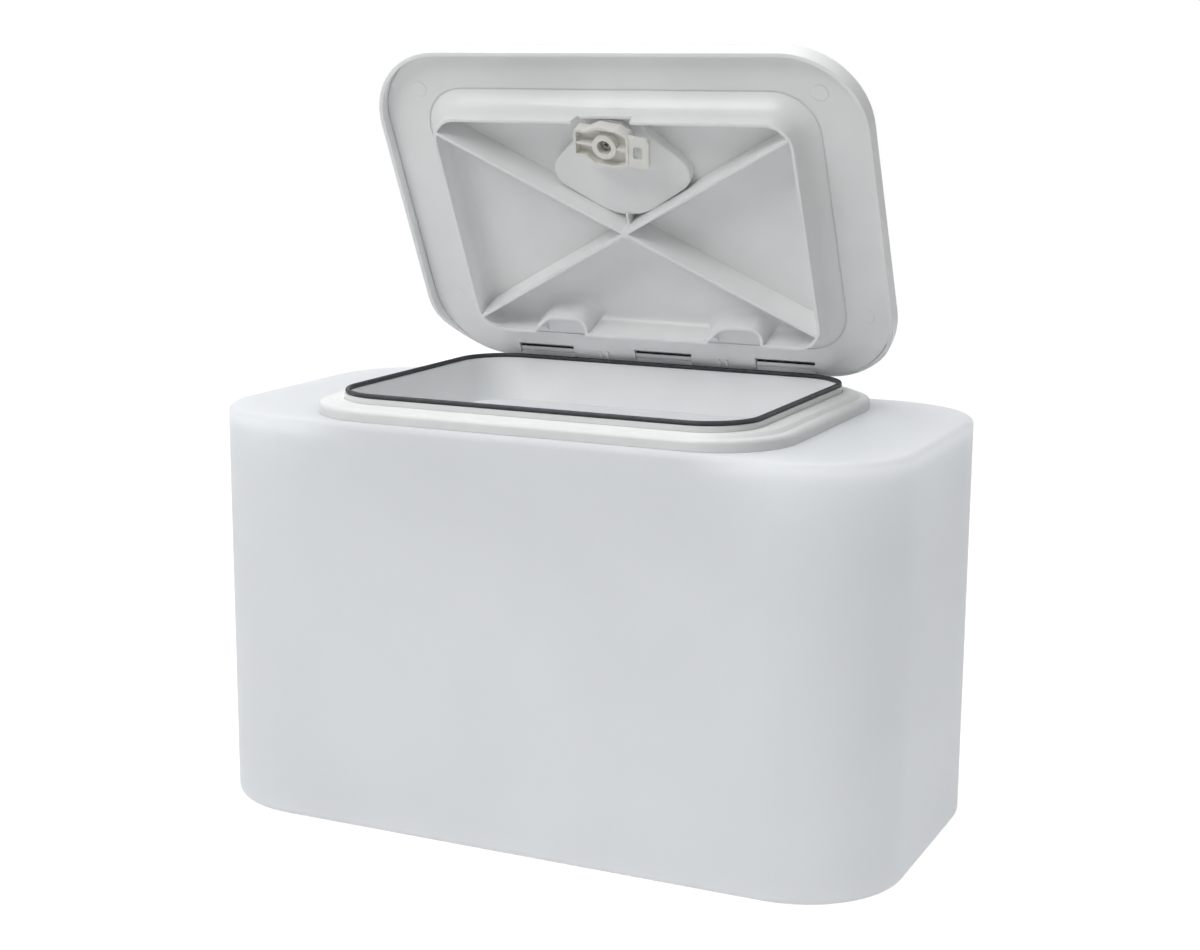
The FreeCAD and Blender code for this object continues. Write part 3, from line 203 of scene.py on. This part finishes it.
hatch_finish, tree, shader, place = start_finish("moulded_asa", {
    "IOR": 1.52,
    "Subsurface Weight": 0.5,
    "Subsurface Radius": (1.0, 1.0, 1.0),
    "Subsurface Scale": 3 * MM,
})
tone = between(tree, pattern(tree, place, 60, 2.0), 0, 1)
tree.links.new(two_tone(tree, tone, "e9eaea", "f0f1f1"), shader.inputs["Base Color"])
tree.links.new(between(tree, pattern(tree, place, 18), 0.3, 0.38), shader.inputs["Roughness"])
edges = add(tree, "Bevel", {"samples": 4}, {"Radius": MOULD_EDGE_MM * MM}).outputs["Normal"]
ripple = relief(tree, pattern(tree, place, 14, 1.0), 0.01, shader, edges)
relief(tree, pattern(tree, place, 0.8, 1.0), 0.004, shader, ripple)
print(hatch_finish.name, "made")

# %% [markdown]
# ## Cam: moulded nylon
# The cam carries the latch's load, so it is moulded in unfilled nylon, which is warmer and
# more waxy than the hatch. A little subsurface gives the wax, and the colour leans to cream.

# %% Cream nylon
latch_finish, tree, shader, place = start_finish("moulded_nylon", {
    "IOR": 1.53,
    "Subsurface Weight": 0.1,
    "Subsurface Scale": 2 * MM,
})
tone = between(tree, pattern(tree, place, 12, 2.0), 0, 1)
tree.links.new(two_tone(tree, tone, "e2e1db", "eae9e4"), shader.inputs["Base Color"])
tree.links.new(between(tree, pattern(tree, place, 6), 0.3, 0.42), shader.inputs["Roughness"])
relief(tree, pattern(tree, place, 1.2, 1.0), 0.01, shader)
print(latch_finish.name, "made")

# %% [markdown]
# ## Seals: EPDM sponge rubber
# The bulb seal is extruded sponge rubber with a thin skin. It is charcoal rather than
# black, dull, and dusted here and there with the wax that comes to the surface.

# %% Black rubber
rubber_finish, tree, shader, place = start_finish("epdm_sponge_rubber", {"IOR": 1.48})
bloom = between(tree, pattern(tree, place, 9, 3.0), 0, 1)
tree.links.new(two_tone(tree, bloom, "2a2e32", "363b3f"), shader.inputs["Base Color"])
tree.links.new(between(tree, pattern(tree, place, 4), 0.5, 0.66), shader.inputs["Roughness"])
relief(tree, pattern(tree, place, 0.5, 2.0), 0.03, shader)
print(rubber_finish.name, "made")

# %% [markdown]
# ## Rods: black acetal
# Three short rods carry the hinges. Acetal is drawn as rod and cut, so it keeps the die's
# faint lines along its length and a low shine.

# %% Black acetal
rod_finish, tree, shader, place = start_finish("drawn_black_acetal", {"IOR": 1.48})
along = add(tree, "Mapping", None, {"Scale": (0.04, 1.0, 1.0)}, {"Vector": place}).outputs["Vector"]
tree.links.new(two_tone(tree, pattern(tree, along, 0.7), "121416", "1b1d20"), shader.inputs["Base Color"])
tree.links.new(between(tree, pattern(tree, along, 0.7), 0.3, 0.45), shader.inputs["Roughness"])
relief(tree, pattern(tree, along, 0.5, 1.0), 0.01, shader)
print(rod_finish.name, "made")

# %% [markdown]
# ## Screws: turned stainless steel
# The screws and the cam's fastening are marine stainless steel. Its colour is painted darker than bare steel, as
# painted shade for the screw head down in the cam's well, and its fine grain spreads the highlight.

# %% Stainless steel
steel_finish, tree, shader, place = start_finish("turned_stainless_steel_painted_shade", {"Metallic": 1.0})
grain = pattern(tree, place, 0.5, 2.0)
# The steel's colour is painted darker than bare steel: painted shade for the screw head in the cam's well.
tree.links.new(two_tone(tree, grain, "8e8c84", "a09e96"), shader.inputs["Base Color"])
tree.links.new(between(tree, grain, 0.34, 0.46), shader.inputs["Roughness"])
relief(tree, grain, 0.004, shader)
print(steel_finish.name, "made")

# %% [markdown]
# ## Gasket: closed-cell foam
# A thin foam gasket beds the hatch frame on the tank. Foam is matt, and its cut edge shows
# cells under a millimetre, drawn here as a Voronoi bump a little coarser than the real one.

# %% Closed-cell foam
foam_finish, tree, shader, place = start_finish("closed_cell_foam", {"IOR": 1.4})
cells = add(tree, "TexVoronoi", None, {"Scale": 1 / (0.9 * MM)}, {"Vector": place}).outputs["Distance"]
tree.links.new(two_tone(tree, cells, "c9cac8", "dfe0de"), shader.inputs["Base Color"])
tree.links.new(between(tree, cells, 0.85, 0.75), shader.inputs["Roughness"])
relief(tree, cells, 0.12, shader)
print(foam_finish.name, "made")

# %% [markdown]
# ## Hose fittings: moulded nylon, stone white
# Thread and barb are moulded in glass-filled nylon, greyer and duller than the hatch, with
# the glass just showing as a dry, slightly gritty surface.

# %% Stone white nylon
fitting_finish, tree, shader, place = start_finish("glass_filled_nylon", {"IOR": 1.53})
tone = between(tree, pattern(tree, place, 10, 3.0), 0, 1)
tree.links.new(two_tone(tree, tone, "dcdcd7", "e4e4e0"), shader.inputs["Base Color"])
tree.links.new(between(tree, pattern(tree, place, 3), 0.42, 0.55), shader.inputs["Roughness"])
relief(tree, pattern(tree, place, 0.5, 2.0), 0.02, shader)
print(fitting_finish.name, "made")

# %% [markdown]
# ## Give every node its finish
# The record says which substance each node is made of. The same table is used here, so
# that a node can't be forgotten: the loop stops if one has no finish.

# %% Assign the finishes
FINISHES = {
    "tank_plastic": tank_finish,
    "hatch_plastic": hatch_finish,
    "latch_plastic": latch_finish,
    "black_rubber": rubber_finish,
    "bedding_foam": foam_finish,
    "rod_black": rod_finish,
    "stainless": steel_finish,
    "fitting_plastic": fitting_finish,
}
slot_of = {part["node"]: part["material_slot"] for part in frame["record"]["subparts"]}
for name, node in nodes.items():
    node.data.materials.clear()
    node.data.materials.append(FINISHES[slot_of[name]])
print(len(nodes), "nodes finished in", len(FINISHES), "substances")

# %% [markdown]
# ## Reshape copies of three pieces
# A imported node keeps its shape, so a piece that needs a finer form is a copy of the node,
# and it stands for it. A loaded mesh has every triangle's corners to itself, so the copy is
# first merged by distance. Its points are easiest to find in the shut lid, as a reach
# forward from the hinge and a drop below it, so two functions turn a point to and fro. The
# hinge, the angle to shut and the latch's hub are read from the frame's joints.

# %% Copies and places in the lid
MERGE_MM = 0.01
SMOOTH_ANGLE = math.radians(28)

joints = {joint["name"]: joint for joint in frame["joints"]}
hinge = Vector(joints["lid_hinge"]["pos_m"])
to_shut = Matrix.Rotation(math.radians(-joints["lid_hinge"]["range_deg"][0]), 3, "X")


def shut_place(point):
    """A point of the open lid as its side, its reach from the hinge and its drop, in mm."""
    turned = to_shut @ (point - hinge)
    return turned.x / MM, -turned.y / MM, -turned.z / MM


def open_place(side, reach, drop):
    """The point of the open lid that has this side, reach and drop in the shut one."""
    return hinge + to_shut.inverted() @ Vector((side, -reach, -drop)) * MM


def only(piece):
    """Makes a piece the one selected and active object."""
    bpy.ops.object.select_all(action="DESELECT")
    piece.select_set(True)
    bpy.context.view_layer.objects.active = piece


def reshaped(name, node, body, change):
    """A copy of a node, merged by distance, with change(side, reach, drop) done to its points."""
    piece = bpy.data.objects.new(name, nodes[node].data.copy())
    scene.collection.objects.link(piece)
    only(piece)
    bpy.ops.object.mode_set(mode="EDIT")
    bpy.ops.mesh.select_all(action="SELECT")
    bpy.ops.mesh.remove_doubles(threshold=MERGE_MM * MM)
    bpy.ops.mesh.customdata_custom_splitnormals_clear()
    bpy.ops.object.mode_set(mode="OBJECT")
    moved = 0
    for vertex in piece.data.vertices:
        old = shut_place(vertex.co)
        new = change(*old)
        if new != old:
            vertex.co = open_place(*new)
            moved += 1
    bpy.ops.object.shade_smooth_by_angle(angle=SMOOTH_ANGLE)
    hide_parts(node)
    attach(piece, body)
    print(name, len(piece.data.vertices), "points,", moved, "moved")
    return piece


hub_reach = shut_place(Vector(joints["latch_turn"]["pos_m"]))[1]
print("the latch's hub is", round(hub_reach, 1), "mm in front of the hinge")


# %% [markdown]
# ## The lid's lip
# The turned-down lip runs at full depth along the front and the sides. Round the two rear
# corners it dies away smoothly to the low edge at the hinges, which a smooth step does.

# %% Lid shell with a tapered lip
LIP_LOW = 3.0
LIP_FULL = 12.2
TAPER_START = 0.0
TAPER_END = 40.0


def tapered_lip(side, reach, drop):
    """Raises the lip's edge to a limit that eases from low to full over the taper."""
    share = min(max((reach - TAPER_START) / (TAPER_END - TAPER_START), 0), 1)
    limit = LIP_LOW + (LIP_FULL - LIP_LOW) * share * share * (3 - 2 * share)
    return side, reach, min(drop, limit)


reshaped("lid_shell", "lid_cover", "lid", tapered_lip)

# %% [markdown]
# ## The liner's front sweep
# The wall round the handle's well is a little wider than the foot of the raised box, so in
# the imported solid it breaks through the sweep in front. The real moulding covers it. Points
# that stand out in front of the sweep are pulled back to it. The sweep leans back by a
# cube's curve, drawn through the same seven shares of its height as the solid.

# %% Liner with a clean sweep
SWEEP_FOOT_DROP = 4.5
SWEEP_HEIGHT = 22.0
SWEEP_FOOT_REACH = 223.3
SWEEP_LEAN = 12.3
SWEEP_SHARES = (0, 0.05, 0.12, 0.22, 0.36, 0.6, 1.0)
WELL_HALF_WIDTH = 27.0
WELL_REACH = 205.0
WELL_DROP = 15.0

sweep = []
for share in SWEEP_SHARES:
    lean = SWEEP_LEAN * (1 - (1 - share) ** 3)
    sweep.append((SWEEP_FOOT_DROP + SWEEP_HEIGHT * share, SWEEP_FOOT_REACH - lean))


def clean_sweep(side, reach, drop):
    """Pulls a point of the well's wall back to the sweep, where it stands out in front."""
    if abs(side) > WELL_HALF_WIDTH or reach < WELL_REACH or not SWEEP_FOOT_DROP + 0.05 < drop < WELL_DROP:
        return side, reach, drop
    for (low, far), (high, near) in zip(sweep, sweep[1:]):
        if low <= drop <= high:
            limit = far + (near - far) * (drop - low) / (high - low)
            return side, min(reach, limit), drop
    return side, reach, drop


reshaped("lid_inner_moulding", "lid_liner", "lid", clean_sweep)

# %% [markdown]
# ## The cam's screw
# A pan-head screw has a cross recess, which is what catches the light down in the cam's
# well. Two blades that narrow as they go in are cut from the head. Each starts as a cube,
# as wide as the recess of a 4 mm screw, and a boolean modifier takes it away.

# %% Screw with its recess
BLADE_LENGTH = 4.6
BLADE_WIDTH = 1.1
BLADE_HEIGHT = 2.2
BLADE_ABOVE_HEAD = 0.6
BLADE_TAPER = 0.45
RECESS_TURN = 12


def recess_blade(turn, head_drop):
    """A tapered blade across the screw's head, turned by an angle in degrees."""
    bpy.ops.mesh.primitive_cube_add(size=1)
    blade = bpy.context.object
    spin = Matrix.Rotation(math.radians(turn), 2)
    for vertex in blade.data.vertices:
        along, across, height = vertex.co
        taper = 1.0 if height > 0 else BLADE_TAPER
        flat = spin @ Vector((along * BLADE_LENGTH * taper, across * BLADE_WIDTH))
        drop = head_drop + BLADE_ABOVE_HEAD + (height - 0.5) * BLADE_HEIGHT
        vertex.co = open_place(flat.x, hub_reach + flat.y, drop)
    return blade


screw = reshaped("cam_pan_head_screw", "cam_screw", "latch", lambda *point: point)
head_drop = max(shut_place(vertex.co)[2] for vertex in screw.data.vertices)
for turn in (RECESS_TURN, RECESS_TURN + 90):
    blade = recess_blade(turn, head_drop)
    cut = screw.modifiers.new("recess", "BOOLEAN")
    cut.operation = "DIFFERENCE"
    cut.solver = "EXACT"
    cut.object = blade
    only(screw)
    bpy.ops.object.modifier_apply(modifier=cut.name)
    bpy.data.objects.remove(blade)
print(screw.name, len(screw.data.polygons), "faces")

# %% [markdown]
# ## Floor, air and lamps
# A product photograph stands on a white sweep under large soft lamps. The floor shows
# white to the camera and keeps only a light shadow of the tank. The lamps stay at a plain
# level, at which a colour renders about as it is written.

# %% Floor and world
FLOOR_SIZE = 12
FLOOR_GLOW = 0.92
AIR_STRENGTH = 0.26


def white_rays(tree):
    """One for the rays that find the studio white: those of the camera, a shine or a glass."""
    seen = add(tree, "LightPath")
    either = add(tree, "Math", {"operation": "MAXIMUM"}, None,
                 {0: seen.outputs["Is Camera Ray"], 1: seen.outputs["Is Glossy Ray"]}).outputs[0]
    return add(tree, "Math", {"operation": "MAXIMUM"}, None,
               {0: either, 1: seen.outputs["Is Transmission Ray"]}).outputs[0]


bpy.ops.mesh.primitive_plane_add(size=FLOOR_SIZE)
floor = bpy.context.object
floor.name = "studio_floor"
floor_finish, tree, shader, place = start_finish("studio_floor_paint", {"Roughness": 0.9})
tree.nodes.remove(shader)
shown = white_rays(tree)
lit = two_tone(tree, shown, "e6e6e6", "a0a0a0")
matt = add(tree, "BsdfDiffuse", None, None, {"Color": lit})
glow_strength = add(tree, "Math", {"operation": "MULTIPLY"}, {1: FLOOR_GLOW}, {0: shown}).outputs[0]
glow = add(tree, "Emission", None, None, {"Strength": glow_strength})
both = add(tree, "AddShader", None, None, {0: matt.outputs[0], 1: glow.outputs[0]})
tree.links.new(both.outputs[0], tree.nodes["Material Output"].inputs["Surface"])
floor.data.materials.append(floor_finish)

world = bpy.data.worlds.new("studio_air")
scene.world = world
world.use_nodes = True
tree = world.node_tree
shown = white_rays(tree)
air = add(tree, "Background", None, {"Color": linear("ffffff"), "Strength": AIR_STRENGTH})
white = add(tree, "Background", None, {"Color": linear("ffffff"), "Strength": 1.0})
mix = add(tree, "MixShader", None, None, {"Fac": shown, 1: air.outputs[0], 2: white.outputs[0]})
tree.links.new(mix.outputs[0], tree.nodes["World Output"].inputs["Surface"])
print("floor", floor.dimensions[:], "world", world.name)


# %% Lamps
LAMP_TARGET = (0, 0, 0.3)
SOFTBOX_SIZE = 1.6


def lamp(name, place, power):
    """A square soft box at a place, facing the lamps' target."""
    light = bpy.data.lights.new(name, "AREA")
    light.size = SOFTBOX_SIZE
    light.energy = power
    holder = bpy.data.objects.new(name, light)
    scene.collection.objects.link(holder)
    facing = (Vector(LAMP_TARGET) - Vector(place)).to_track_quat("-Z", "Y")
    holder.matrix_world = Matrix.Translation(place) @ facing.to_matrix().to_4x4()
    return holder


lamp("main_softbox", (-0.9, -2.2, 2.4), power=42)
lamp("overhead_softbox", (-0.4, 0.2, 2.2), power=23)
scene.view_settings.view_transform = "Standard"
print("lamps placed")
